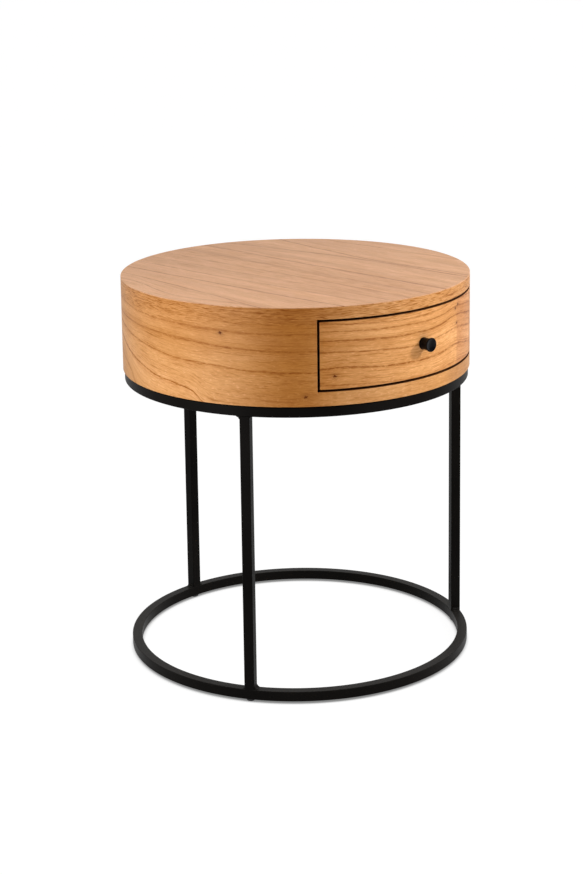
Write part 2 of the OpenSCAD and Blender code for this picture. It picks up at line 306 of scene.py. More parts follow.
# What a tone is multiplied by in marks and places
DASH_STAIN = (0.60, 0.43, 0.15)
FLECK_STAIN = (1.24, 1.38, 1.85)
FIBRE_STAINS = (0.83, 0.77, 0.66), (1.15, 1.21, 1.33)
BUSY_STAIN = (0.96, 0.94, 0.91)
# Painted shade: the wood's edge faces, such as those in the gaps round the drawer, are darkened for the shade
# that falls in them
EDGE_SHADE = (0.17, 0.12, 0.09)
PINK_STAIN = (0.84, 0.78, 0.78)
HIGH_STAIN = (0.86, 0.79, 0.66)
SILL_STAIN = (0.84, 0.83, 0.84)

# Patches of a veneer's noise: length and width in mm
BROAD, PATCH, BAND, STREAK = (260, 30), (38, 16), (180, 5), (50, 1.8)
FIBRE, DASH, FLECK, BROKEN = (9, 0.6), (13, 1.0), (5, 1.5), (7, 2.5)
WOOD_GLOSS, WOOD_ROUGHNESS = 0.12, (0.40, 0.52)

# Places round the drum: an angle, a half width in degrees, and how deep, or the heights where it fades in
# Painted shade: the stretch at -44 faces the camera between the two lamps and is darkened for the shade
# there; the other stretches are the veneer's own deeper tone
DEEP_TONE_AND_SHADE_STRETCHES = [(-44, 15, 0.78), (72, 20, 0.4), (158, 18, 0.45), (-172, 16, 0.3)]
# There are more dashes under the rim, and fewer in a calm place
BUSY_HEIGHTS = (472 * MM, 486 * MM)
CALM_ANGLE, CALM_WIDTH, CALM_HEIGHTS = -108, 14, (400 * MM, 420 * MM)
# The wood is browner high on the wall, and greyer on a stretch of the sill
HIGH_ANGLE, HIGH_WIDTH, HIGH_HEIGHTS = -74, 34, (430 * MM, 456 * MM)
SILL_HEIGHTS, SILL_FROM, SILL_TO = (396 * MM, 400 * MM), (10, 17), (45, 70)
# The top's marks are longer, and a strip has more dashes
TOP_STRETCH = 2.2
TOP_BUSY_X, TOP_BUSY_WIDTH, TOP_BUSY = -5 * MM, 60 * MM, 0.6

WALL_LINE_WIDTH, TOP_LINE_WIDTH = 0.95 * MM, 1.05 * MM
# The soft shade round a growth line, and how fast it falls off above and below
SMEAR_WIDTH, SMEAR_ABOVE, SMEAR_BELOW = 3.0 * MM, 1.6, -0.8
# Growth lines that meet count as this far apart, so that the grain doesn't turn over
LEAST_GAP = 0.5 * MM
WALL_SPACING, FRONT_SPACING, TOP_SPACING = 24 * MM, 18 * MM, 40 * MM
# The ranges that growth lines lie in
ROUND_HEIGHTS = (340 * MM, 520 * MM)
TOP_ALONG, TOP_ACROSS = (-230 * MM, 230 * MM), (-250 * MM, 250 * MM)

# Each growth line: its strength, then (angle, height in mm) points. Strength 0 only guides the grain
WALL_LINES = [
    (0.0, [(-180, 350), (180, 350)]),
    (0.8, [(-180, 424), (-150, 430), (-118, 403), (-111, 393), (-107, 378), (-98, 362), (0, 358),
           (120, 362), (180, 424)]),
    (1.0, [(-180, 436), (-150, 441), (-125, 432), (-113, 419), (-101, 407), (-94, 401), (-84, 396),
           (-78, 391), (-74, 379), (-66, 370), (0, 366), (90, 374), (125, 396), (150, 414), (180, 436)]),
    (0.8, [(-180, 451), (-150, 455), (-125, 449), (-106, 439), (-94, 433), (-82, 428), (-70, 426),
           (-58, 422), (-37, 420), (0, 416), (60, 410), (110, 418), (150, 434), (180, 451)]),
    (0.7, [(-180, 464), (-150, 467), (-114, 459), (-89, 455), (-71, 451), (-53, 447), (-37, 446),
           (20, 440), (75, 432), (120, 440), (180, 464)]),
    (0.6, [(-180, 479), (-150, 481), (-111, 476), (-93, 473), (-69, 470), (-50, 467), (-37, 467),
           (40, 458), (100, 462), (180, 479)]),
    (0.25, [(-180, 497), (-111, 498), (-60, 494), (40, 491), (120, 488), (180, 497)]),
    (0.0, [(-180, 520), (180, 520)]),
]
# Each knot: its angle, its height in mm, and its size
WALL_KNOTS = [(-67.2, 466.7, 1.9), (-40.7, 390.6, 1.9), (64, 428, 1.6), (151, 452, 1.8)]
FRONT_LINES = [
    (0.0, [(-40, 385), (40, 380)]),
    (0.5, [(-40, 405), (-20, 402), (0, 400), (20, 403), (40, 396)]),
    (0.9, [(-40, 424), (-36, 424), (-30, 425), (-18, 422), (-2, 420), (7, 421), (19, 425), (28, 420),
           (40, 412)]),
    (0.7, [(-40, 446), (-30, 444), (-11, 441), (0, 440), (19, 446), (28, 442), (40, 434)]),
    (0.9, [(-40, 459), (-24, 457), (-2, 455), (7, 457), (19, 462), (28, 458), (40, 450)]),
    (0.7, [(-40, 470), (-18, 468), (-2, 467), (7, 468), (19, 473), (28, 470), (40, 463)]),
    (0.6, [(-40, 481), (-24, 477), (-2, 475), (7, 477), (19, 482), (28, 480), (40, 474)]),
    (0.0, [(-40, 493), (40, 493)]),
]
FRONT_KNOTS = [(-31.7, 414.8, 1.9), (18.5, 470.5, 1.7), (20.4, 474.5, 1.5), (19.4, 451.5, 1.6)]
# A knot's half length and half height per mm of its size
KNOT_OVAL = (1.7, 1.3)

# The drawer front has stronger marks, and turns pinker this far to both sides of an angle
FRONT_CONTRAST, PINK_FROM, PINK_BLEND = 1.25, 19.5, 0.8

# On the top the lines run front to back: (y, x) points in mm from the drum's axis
TOP_LINES = [
    (0.0, [(-230, -240), (230, -240)]),
    (0.5, [(-230, -200), (-109, -183), (-10, -205), (124, -183), (230, -200)]),
    (0.7, [(-230, -189), (-116, -182), (-52, -175), (149, -160), (230, -158)]),
    (0.0, [(-230, -146), (-52, -145), (149, -146), (230, -146)]),
    (0.9, [(-230, -102), (-187, -110), (4, -123), (175, -130), (230, -132)]),
    (0.5, [(-230, -74), (-100, -80), (60, -92), (230, -98)]),
    (0.4, [(-230, -46), (-80, -52), (80, -60), (230, -66)]),
    (0.45, [(-230, -20), (-60, -24), (100, -30), (230, -34)]),
    (0.4, [(-230, 12), (-50, 8), (90, 4), (230, 0)]),
    (0.9, [(-230, 46), (-135, 44), (40, 40), (219, 37), (230, 37)]),
    (0.0, [(-230, 84), (0, 76), (230, 50)]),
    (0.8, [(-230, 122), (-120, 117), (-16, 112), (80, 98), (207, 70), (230, 64)]),
    (0.9, [(-230, 130), (-154, 127), (-32, 119), (80, 126), (171, 137), (230, 142)]),
    (0.0, [(-230, 168), (0, 155), (230, 157)]),
    (0.6, [(-230, 206), (-108, 199), (0, 190), (121, 180), (230, 172)]),
    (0.0, [(-230, 240), (230, 240)]),
]


def growth(t, value, value_range, height, lines, point_range, width):
    """How far up the growth rings a point is, and the dark line and the soft shade at their ends."""
    heights = [t.curve(value, value_range, points, point_range) for strength, points in lines]
    level, core, shade = 0.0, 0.0, 0.0
    for number, (strength, points) in enumerate(lines):
        above = t.minus(height, heights[number])
        if number + 1 < len(lines):
            gap = t.minus(heights[number + 1], heights[number])
            part = t.over(above, t.most(gap, LEAST_GAP))
            level = t.plus(level, t.ramp(part, 0.0, 1.0, smooth=False))
        if strength:
            core = t.most(core, t.times(t.bell(above, width), strength))
            away = t.most(t.times(above, SMEAR_ABOVE), t.times(above, SMEAR_BELOW))
            shade = t.most(shade, t.times(t.bell(away, SMEAR_WIDTH), strength))
    return level, core, shade


def knot_mask(t, along, across, knots):
    """Small dark knots with ragged edges and a faint halo."""
    mask = 0.0
    ragged = t.grain(along, across, 1.6 * MM, 1.2 * MM, 50.0, 1)
    for at, height, size in knots:
        u = t.over(t.minus(along, at), size * KNOT_OVAL[0] * MM)
        v = t.over(t.minus(across, height), size * KNOT_OVAL[1] * MM)
        reach = t.times(t.length(u, v), t.ramp(ragged, 0.3, 0.7, 0.7, 1.5))
        core = t.ramp(reach, 0.4, 1.1, 1.0, 0.0)
        halo = t.ramp(reach, 0.8, 3.0, 0.22, 0.0)
        mask = t.most(mask, t.most(core, halo))
    return mask


def tinted_tone(t, tone, amount, multiplier):
    """A tone multiplied by a colour, as far as the amount says."""
    return t.mix(1.0, tone, t.mix(amount, (1.0, 1.0, 1.0), multiplier), "MULTIPLY")


def veneer_tone(t, grain, core, shade, wood, busy, deep_and_shade, contrast):
    """The veneer's colour and its dark dashes. Where it is busy there are more of them."""
    broad = grain(BROAD, 0, 2, stretched=False)
    patch = grain(PATCH, 1, 2)
    band = grain(BAND, 2, 3, 0.6, stretched=False)
    streak = grain(STREAK, 4, 3, 0.6)
    dash = grain(DASH, 8, 1)
    fleck = grain(FLECK, 12, 1)
    broken = grain(BROKEN, 10, 3, 0.7)
    usual, pale, dark, line_stain = wood
    tone = t.mix(t.ramp(broad, 0.32, 0.68), usual, pale)
    # The deep tone here is partly the veneer's own and partly painted shade on the stretch facing the camera
    tone = t.mix(deep_and_shade, tone, dark)
    tone = tinted_tone(t, tone, t.ramp(patch, 0.38, 0.68, 0.0, 0.2 * contrast), DASH_STAIN)
    tone = t.mix(t.ramp(band, 0.48, 0.78, 0.0, 0.38), tone, dark)
    tone = t.mix(t.times(shade, t.ramp(broken, 0.3, 0.7, 0.12, 0.38)), tone, dark)
    streaks = t.times(t.ramp(streak, 0.5, 0.76, 0.0, 0.8 * contrast), t.plus(0.9, t.times(busy, 0.5)))
    tone = tinted_tone(t, tone, streaks, DASH_STAIN)
    dense = t.plus(dash, t.times(busy, 0.03))
    dashes = t.times(t.ramp(dense, 0.56, 0.67), t.plus(0.36, t.times(busy, 0.56), t.times(shade, 0.3)))
    tone = tinted_tone(t, tone, t.times(dashes, contrast), DASH_STAIN)
    tone = tinted_tone(t, tone, busy, BUSY_STAIN)
    tone = tinted_tone(t, tone, t.ramp(fleck, 0.56, 0.74, 0.0, 0.5 * contrast), FLECK_STAIN)
    tone = tinted_tone(t, tone, t.times(core, t.ramp(broken, 0.38, 0.56, 0.3, 1.0)), line_stain)
    return tone, dashes


def finish_veneer(t, shader, along, across, rings, wood, seed, busy, deep_and_shade=0.0, stretch=1.0, contrast=1.0,
                  stains_and_shade=()):
    """Colour, pores and lacquer over the growth lines, with the stains and painted shade that are passed in.
    """

    def grain(size, number, detail, roughness=0.5, stretched=True):
        length, width = size
        long = length * (stretch * MM if stretched else MM)
        return t.grain(along, across, long, width * MM, seed + number, detail, roughness)

    core, shade, knots = rings
    fibre = grain(FIBRE, 6, 2, 0.6)
    tone, dashes = veneer_tone(t, grain, core, shade, wood, busy, deep_and_shade, contrast)
    spread = t.math("MULTIPLY_ADD", busy, 0.7, 0.9)
    light = t.math("MULTIPLY_ADD", t.ramp(fibre, 0.25, 0.75, -0.5, 0.5, smooth=False), spread, 0.5)
    tone = t.mix(1.0, tone, t.mix(light, *FIBRE_STAINS), "MULTIPLY")
    tone = t.mix(knots, tone, KNOT)
    for amount, multiplier in stains_and_shade:
        tone = tinted_tone(t, tone, amount, multiplier)
    roughness = t.ramp(fibre, 0.2, 0.8, *WOOD_ROUGHNESS)
    relief = t.minus(t.times(fibre, 0.35), t.plus(dashes, t.times(core, 0.6)))
    dress(t, shader, tone, roughness, t.bump(relief, 0.05 * MM, 0.7), WOOD_GLOSS)


def deep_tone_and_shade(t, angle):
    """How far the wall's veneer takes its darker tone: the veneer's own, and painted shade on the stretch
    facing the camera.
    """
    deep_and_shade = 0.0
    for at, width, amount in DEEP_TONE_AND_SHADE_STRETCHES:
        deep_and_shade = t.most(deep_and_shade, t.times(t.bell(t.minus(angle, at), width), amount))
    return deep_and_shade


def edge_shade_mask(t, radius):
    """1 where the wood's face looks along the drum's wall instead of outwards or inwards. These edge faces
    get painted shade.
    """
    x, y, z = t.place()
    nx, ny, nz = t.normal()
    outward = t.over(t.plus(t.times(nx, x), t.times(ny, t.minus(y, AXIS_Y))), radius)
    return t.ramp(t.math("ABSOLUTE", outward), 0.45, 0.95, 1.0, 0.0)


def round_veneer(name, wood, lines, knots, spacing, seed, contrast=1.0, pink_from=None):
    """Veneer whose grain runs round the drum, wrapped over its edges, with painted shade on its edge faces
    and on the stretch facing the camera.
    """
    material, t, shader = new_material(name)
    angle, radius, z = t.round_place()
    along = t.times(angle, math.pi / 180 * DRUM_R)
    wander = t.grain(along, z, 40 * MM, 12 * MM, seed + 20, 2)
    quiver = t.grain(along, z, 7 * MM, 5 * MM, seed + 21, 1)
    bend = t.plus(t.times(t.minus(wander, 0.5), 2.4 * MM), t.times(t.minus(quiver, 0.5), 1.2 * MM))
    height = t.plus(z, t.minus(DRUM_R, radius), bend)
    lines = [(strength, [(x, y * MM) for x, y in points]) for strength, points in lines]
    guide = lines[0][1]
    angles = (guide[0][0], guide[-1][0])
    level, core, shade = growth(t, angle, angles, height, lines, ROUND_HEIGHTS, WALL_LINE_WIDTH)
    places = [(math.radians(at) * DRUM_R, up * MM, size) for at, up, size in knots]
    mask = knot_mask(t, along, z, places)
    calm = t.times(t.bell(t.minus(angle, CALM_ANGLE), CALM_WIDTH), t.ramp(z, *CALM_HEIGHTS, 1.0, 0.0))
    busy = t.minus(t.ramp(z, *BUSY_HEIGHTS), t.times(calm, 0.7))
    high = t.times(t.ramp(z, *HIGH_HEIGHTS), t.bell(t.minus(angle, HIGH_ANGLE), HIGH_WIDTH))
    sill = t.times(t.ramp(z, *SILL_HEIGHTS, 1.0, 0.0), t.ramp(angle, *SILL_FROM))
    sill = t.times(sill, t.ramp(angle, *SILL_TO, 1.0, 0.0))
    # The edge faces get painted shade for the gaps round the drawer
    stains_and_shade = [(edge_shade_mask(t, radius), EDGE_SHADE), (high, HIGH_STAIN), (sill, SILL_STAIN)]
    if pink_from is not None:
        stains_and_shade.append((t.ramp(angle, pink_from - PINK_BLEND, pink_from + PINK_BLEND), PINK_STAIN))
    # Darker stretches of veneer, one of them painted shade where the wall faces the camera
    deep_and_shade = deep_tone_and_shade(t, angle)
    rings = (core, shade, mask)
    across = t.times(level, spacing)
    finish_veneer(t, shader, along, across, rings, wood, seed, busy, deep_and_shade, 1.0, contrast, stains_and_shade)
    return material


def top_veneer(name, lines, seed):
    """Veneer whose grain runs front to back."""
    material, t, shader = new_material(name)
    x, y, z = t.place()
    along = t.minus(y, AXIS_Y)
    wander = t.grain(along, x, 60 * MM, 20 * MM, seed + 20, 2)
    height = t.plus(x, t.times(t.minus(wander, 0.5), 4 * MM))
    lines = [(strength, [(a * MM, b * MM) for a, b in points]) for strength, points in lines]
    level, core, shade = growth(t, along, TOP_ALONG, height, lines, TOP_ACROSS, TOP_LINE_WIDTH)
    busy = t.times(t.bell(t.minus(x, TOP_BUSY_X), TOP_BUSY_WIDTH), TOP_BUSY)
    across = t.times(level, TOP_SPACING)
    finish_veneer(t, shader, along, across, (core, shade, 0.0), TOP_WOOD, seed, busy, stretch=TOP_STRETCH)
    return material


# ---- plywood ----

PLY_FACE = (0.70, 0.52, 0.33)
PLY_DARK = (0.50, 0.32, 0.17)
PLY_GLUE = (0.24, 0.13, 0.06)
PLY_COUNT, PLY_ROUGHNESS = 7, (0.55, 0.7)
GRIT_PER_M = 700
PARTITION_TINT, CASE_BOTTOM_TINT = (0.92, 0.9, 0.86), (0.92, 0.88, 0.82)


def plywood(name, thickness_axis, grain_axis, box, seed, tint=(1.0, 1.0, 1.0)):
    """Birch-like plywood: a plain face veneer, and its plies on the cut edges."""
    material, t, shader = new_material(name)
    place = t.place()
    lo, hi = box
    depth = t.ramp(place[thickness_axis], lo[thickness_axis], hi[thickness_axis], smooth=False)
    along = place[grain_axis]
    other = place[3 - thickness_axis - grain_axis]
    wander = t.grain(along, other, 160 * MM, 40 * MM, seed, 2)
    across = t.plus(other, t.times(wander, 30 * MM))
    figure = t.grain(along, across, 300 * MM, 9 * MM, seed + 1, 3, 0.55)
    fibre = t.grain(along, across, 12 * MM, 0.8 * MM, seed + 2, 2, 0.6)
    fleck = t.grain(along, across, 7 * MM, 0.5 * MM, seed + 3, 1)
    face = t.mix(t.ramp(figure, 0.42, 0.72, 0.0, 0.45), PLY_FACE, PLY_DARK)
    face = t.mix(t.ramp(fleck, 0.62, 0.76, 0.0, 0.25), face, PLY_DARK)
    ply = t.times(depth, PLY_COUNT)
    turn = t.math("MODULO", t.math("FLOOR", ply), 2)
    edge_noise = t.noise(t.combine(*(t.times(v, GRIT_PER_M) for v in place)), 2)
    edge = t.mix(t.times(turn, 0.75), PLY_FACE, PLY_DARK)
    edge = t.mix(t.ramp(edge_noise, 0.4, 0.75, 0.0, 0.5), edge, PLY_DARK)
    seam = t.math("ABSOLUTE", t.minus(t.math("FRACT", ply), 0.5))
    edge = t.mix(t.ramp(seam, 0.42, 0.5, 0.0, 0.6), edge, PLY_GLUE)
    facing = t.math("ABSOLUTE", t.normal()[thickness_axis])
    tone = t.mix(t.ramp(facing, 0.5, 0.8), edge, face)
    light = t.ramp(fibre, 0.25, 0.75, 0.92, 1.08, smooth=False)
    tone = t.mix(1.0, tone, t.grey(light), "MULTIPLY")
    tone = t.mix(1.0, tone, tint, "MULTIPLY")
    relief = t.plus(fibre, t.times(edge_noise, 0.3))
    dress(t, shader, tone, t.ramp(fibre, 0.2, 0.8, *PLY_ROUGHNESS), t.bump(relief, 0.06 * MM, 0.6))
    return material


# ---- metal, rubber and plastic ----


def speckle(t, size, detail=2.0, roughness=0.5):
    """Noise that is the same in all directions, in patches of about this size."""
    place = t.place()
    return t.noise(t.combine(*(t.over(v, size) for v in place)), detail, roughness)


COAT_TONES = (0.0026, 0.0020, 0.0016), (0.0042, 0.0033, 0.0026)
COAT_SCUFF = (0.012, 0.0115, 0.011)
COAT_DUST = (0.020, 0.0185, 0.017)
# Dust fades out upwards, and a face that doesn't look up gets this share of it
DUST_HEIGHTS, DUST_ON_WALLS = (15 * MM, 160 * MM), 0.15
COAT_GLOSS, COAT_ROUGHNESS = 0.03, (0.36, 0.46)
KNOB_TONES = (0.0015, 0.0015, 0.0018), (0.004, 0.004, 0.0048)
KNOB_GLOSS, KNOB_ROUGHNESS = 0.06, (0.15, 0.23)
BLACK_TONES = (0.010, 0.010, 0.011), (0.045, 0.043, 0.040)
STREAK_WIDTH, STREAK_LENGTH = 0.25 * MM, 30 * MM


def powder_coat():
    """Black powder coat with orange peel and a few scuffs. A little dust lies on it near the floor."""
    material, t, shader = new_material("powder_coat")
    peel = speckle(t, 1.1 * MM, 3, 0.6)
    cloud = speckle(t, 60 * MM, 2)
    scuff = t.ramp(speckle(t, 5 * MM, 4, 0.7), 0.68, 0.8)
    tone = t.mix(t.ramp(cloud, 0.3, 0.7), *COAT_TONES)
    tone = t.mix(t.times(scuff, 0.3), tone, COAT_SCUFF)
    upward = t.most(t.normal()[2], 0.0)
    settled = t.plus(DUST_ON_WALLS, t.times(upward, 1 - DUST_ON_WALLS))
    dust = t.times(t.ramp(t.place()[2], *DUST_HEIGHTS, 1.0, 0.0), settled)
    tone = t.mix(dust, tone, COAT_DUST)
    roughness = t.plus(t.ramp(peel, 0.25, 0.75, *COAT_ROUGHNESS), t.times(scuff, 0.1))
    dress(t, shader, tone, roughness, t.bump(peel, 0.07 * MM, 0.55), COAT_GLOSS)
    return material


def knob_black():
    """A turned knob: satin black lacquer with faint rings from the lathe."""
    material, t, shader = new_material("knob_black")
    x, y, z = t.place()
    up = t.minus(z, KNOB_Z)
    rings = t.noise(t.combine(t.over(t.length(x, up), 0.35 * MM), t.over(y, 0.5 * MM), 4.0), 2)
    grit = speckle(t, 0.5 * MM, 2)
    tone = t.mix(t.ramp(rings, 0.3, 0.7), *KNOB_TONES)
    relief = t.bump(t.plus(rings, t.times(grit, 0.4)), 0.02 * MM, 0.6)
    dress(t, shader, tone, t.ramp(grit, 0.2, 0.8, *KNOB_ROUGHNESS), relief, KNOB_GLOSS)
    return material


def zinc(name, base, roughness, streak_axis):
    """Zinc-plated steel with brushed streaks and a faint mottle."""
    material, t, shader = new_material(name)
    place = t.place()
    sizes = [STREAK_WIDTH] * 3
    sizes[streak_axis] = STREAK_LENGTH
    streak = t.noise(t.combine(*(t.over(v, s) for v, s in zip(place, sizes))), 2)
    mottle = speckle(t, 6 * MM, 3, 0.6)
    dark = tuple(v * 0.72 for v in base)
    warm = (base[0] * 1.02, base[1] * 0.97, base[2] * 0.88)
    tone = t.mix(t.ramp(mottle, 0.35, 0.7), base, warm)
    tone = t.mix(t.ramp(streak, 0.45, 0.8, 0.0, 0.6), tone, dark)
    shader.inputs["Metallic"].default_value = 1.0
    uneven = t.plus(roughness, t.ramp(mottle, 0.3, 0.7, -0.05, 0.07))
    dress(t, shader, tone, uneven, t.bump(streak, 0.01 * MM, 0.5))
    return material


def soft_black(name, roughness):
    """Moulded rubber or plastic with a fine grain."""
    material, t, shader = new_material(name)
    grain = speckle(t, 0.6 * MM, 3, 0.6)
    dust = t.ramp(speckle(t, 3 * MM, 4, 0.7), 0.5, 0.8, 0.0, 0.4)
    uneven = t.ramp(grain, 0.2, 0.8, roughness - 0.06, roughness + 0.06)
    dress(t, shader, t.mix(dust, *BLACK_TONES), uneven, t.bump(grain, 0.05 * MM, 0.6))
    return material


# ---- floor, world and lights ----


def ray_kinds(t):
    """1 for rays straight from the camera, and 1 for its rays by way of gloss or glass."""
    path = t.add("LightPath")
    mirrored = t.most(path.outputs["Is Glossy Ray"], path.outputs["Is Transmission Ray"])
    return path.outputs["Is Camera Ray"], mirrored


def make_floor():
    """White paper that keeps the object's shadow. Its glow has a painted contact shadow under and round the
    object's feet.
    """
    bpy.ops.mesh.primitive_plane_add(size=FLOOR_SIZE, location=(0, 0, 0))
    floor = bpy.context.object
    floor.name = "floor"
    material, t, shader = new_material("floor_paper")
    t.nodes.remove(shader)
    seen = t.most(*ray_kinds(t))
    diffuse = t.add("BsdfDiffuse")
    t.put(diffuse.inputs["Color"], t.grey(t.ramp(seen, 0, 1, FLOOR_GREY, FLOOR_TINT, smooth=False)))
    # Painted contact shadow: the glow is dimmed where the object hems the floor in
    near = t.add("AmbientOcclusion", samples=CONTACT_SHADOW_SAMPLES)
    near.inputs["Distance"].default_value = CONTACT_SHADOW_REACH
    glow = t.add("Emission")
    contact_shadow_share = t.ramp(near.outputs["AO"], *CONTACT_SHADOW_OPEN, *CONTACT_SHADOW_GLOW)
    t.put(glow.inputs["Strength"], t.times(seen, contact_shadow_share, FLOOR_GLOW))
    both = t.add("AddShader")
    t.put(both.inputs[0], diffuse.outputs[0])
    t.put(both.inputs[1], glow.outputs[0])
    t.put(t.nodes["Material Output"].inputs["Surface"], both.outputs[0])
    floor.data.materials.append(material)


def make_world():
    """A bright studio behind and above the table, dark in front. What the camera sees directly is white."""
    world = bpy.data.worlds.new("studio")
    world.use_nodes = True
    bpy.context.scene.world = world
    t = Tree(world.node_tree)
    direction = t.add("TexCoord").outputs["Generated"]
    away = t.add("VectorMath", operation="DOT_PRODUCT")
    t.put(away.inputs[0], direction)
    away.inputs[1].default_value = round_axis(CAM_AZIMUTH, -1, 0) - round_axis(CAM_AZIMUTH, 0, 0)
    above = t.ramp(t.split(direction)[2], *ABOVE_RANGE, 0.0, SKY_ABOVE)
    level = t.plus(t.ramp(away.outputs["Value"], *BACK_RANGE, 0.0, SKY_BACK), above)
    direct, mirrored = ray_kinds(t)
    backdrop = t.times(mirrored, t.ramp(away.outputs["Value"], *MIRRORED_RANGE))
    white = t.most(direct, backdrop)
    t.put(t.nodes["Background"].inputs["Strength"], t.most(level, white))
    t.nodes["Background"].inputs["Color"].default_value = (1, 1, 1, 1)


def make_lamp(name, azimuth, distance, height, width, length, power):
    """A soft box that looks at the drum's axis, and that the camera doesn't see."""
    data = bpy.data.lights.new(name, "AREA")
    data.shape = "RECTANGLE"
    data.size, data.size_y = width, length
    data.energy = power
    lamp = bpy.data.objects.new(name, data)
    lamp.location = round_axis(azimuth, distance, height)
    aim = round_axis(0, 0, min(height, TABLE_Z)) - lamp.location
    lamp.rotation_euler = aim.to_track_quat("-Z", "Y").to_euler()
    lamp.visible_camera = False
    bpy.context.scene.collection.objects.link(lamp)


# ---- mesh code ----

MERGE_DISTANCE = 0.001 * MM
CORNER_STEPS = 4
# Edges sharper than these angles are eased, and keep a crease in the shading
EASED_ANGLE, CREASE_ANGLE = math.radians(35), math.radians(50)


def add_mesh(name, bm, material, body, nodes, bevel=0.0, bevel_steps=2):
    """Make a piece that rides on a body, stands for CAD nodes and has the given material."""
    bmesh.ops.remove_doubles(bm, verts=bm.verts, dist=MERGE_DISTANCE)
    bmesh.ops.recalc_face_normals(bm, faces=bm.faces)
    if bevel:
        edges = [e for e in bm.edges if e.is_manifold and e.calc_face_angle(0) > EASED_ANGLE]
        bmesh.ops.bevel(bm, geom=edges, offset=bevel, segments=bevel_steps, profile=0.5,
                        affect="EDGES", clamp_overlap=True)
    mesh = bpy.data.meshes.new(name)
    bm.to_mesh(mesh)
    bm.free()
    mesh.shade_smooth()
    mesh.set_sharp_from_angle(angle=CREASE_ANGLE)
    piece = bpy.data.objects.new(name, mesh)
    bpy.context.scene.collection.objects.link(piece)
    mesh.materials.append(material)
    weighted = piece.modifiers.new("weighted_normals", "WEIGHTED_NORMAL")
    weighted.keep_sharp = True
    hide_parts(*nodes)
    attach(piece, body)


def rounded(corners, radius=0.0):
    """A closed outline with its corners rounded. A corner may be (x, y) or (x, y, its own radius)."""
    outline = []
    count = len(corners)
    for number, corner in enumerate(corners):
        here = Vector(corner[:2])
        before = Vector(corners[number - 1][:2]) - here
        after = Vector(corners[(number + 1) % count][:2]) - here
        r = corner[2] if len(corner) > 2 else radius
        if not r:
            outline.append(here)
            continue
        half = before.angle(after) / 2
        reach = r / math.tan(half)
        start, end = before.normalized(), after.normalized()
        centre = here + (start + end).normalized() * (r / math.sin(half))
        first = here + start * reach - centre
        last = here + end * reach - centre
        for step in range(CORNER_STEPS + 1):
            outline.append(centre + first.slerp(last, step / CORNER_STEPS).normalized() * r)
    return outline


def spoke(angle, radius, height):
    """The point at an angle round the Z axis."""
    return Vector((math.cos(angle) * radius, math.sin(angle) * radius, height))


def bridge(bm, low, high):
    """Faces between two closed loops of vertices. One of them may be a single vertex."""
    count = max(len(low), len(high))
    for n in range(count):
        m = (n + 1) % count
        corners = [low[n % len(low)], low[m % len(low)], high[m % len(high)], high[n % len(high)]]
        bm.faces.new(list(dict.fromkeys(corners)))


def spin(bm, outline, segments, start=0.0, angle=360.0):
    """Turn an outline of (radius, height) about the drum's axis, and close the ends of a part turn."""
    whole = angle == 360.0
    stations = segments if whole else segments + 1
    rings = []
    for station in range(stations):
        a = math.radians(start + angle * station / segments)
        c, s = math.cos(a), math.sin(a)
        rings.append([bm.verts.new((c * r, AXIS_Y + s * r, z)) for r, z in outline])
    count = len(outline)
    for station in range(segments):
        here, there = rings[station], rings[(station + 1) % stations]
        for n in range(count):
            m = (n + 1) % count
            bm.faces.new((here[n], there[n], there[m], here[m]))
    if not whole:
        bm.faces.new(rings[0])
        bm.faces.new(reversed(rings[-1]))


def extrude(bm, outline, z0, z1, place=Matrix.Identity(4)):
    """A prism with this outline, between two heights of the place's frame."""
    low, high = ([bm.verts.new(place @ Vector((x, y, z))) for x, y in outline] for z in (z0, z1))
    bridge(bm, low, high)
    bm.faces.new(reversed(low))
    bm.faces.new(high)


def turned(bm, profile, place, segments):
    """A solid of revolution about the local Z axis. The profile is (radius, height), from pole to pole."""
    steps = [2 * math.pi * n / segments for n in range(segments)]
    rings = []
    for r, z in profile:
        spokes = steps if r > MERGE_DISTANCE else steps[:1]
        rings.append([bm.verts.new(place @ spoke(a, r, z)) for a in spokes])
    for low, high in zip(rings, rings[1:]):
        bridge(bm, low, high)


def at_angle(degrees):
    """The frame whose X axis points outwards from the drum's axis at an angle."""
    return Matrix.Translation((0, AXIS_Y, 0)) @ Matrix.Rotation(math.radians(degrees), 4, "Z")


# ---- drum ----

ROUND_SEGMENTS = 240
OPENING_STEPS, WALL_STEPS, FRONT_STEPS = 60, 192, 60
# How far the edges of the wall, the drawer front and the top's rim are eased
WOOD_EDGE, FRONT_EDGE, RIM_EDGE = 0.3 * MM, 0.7 * MM, 0.5 * MM


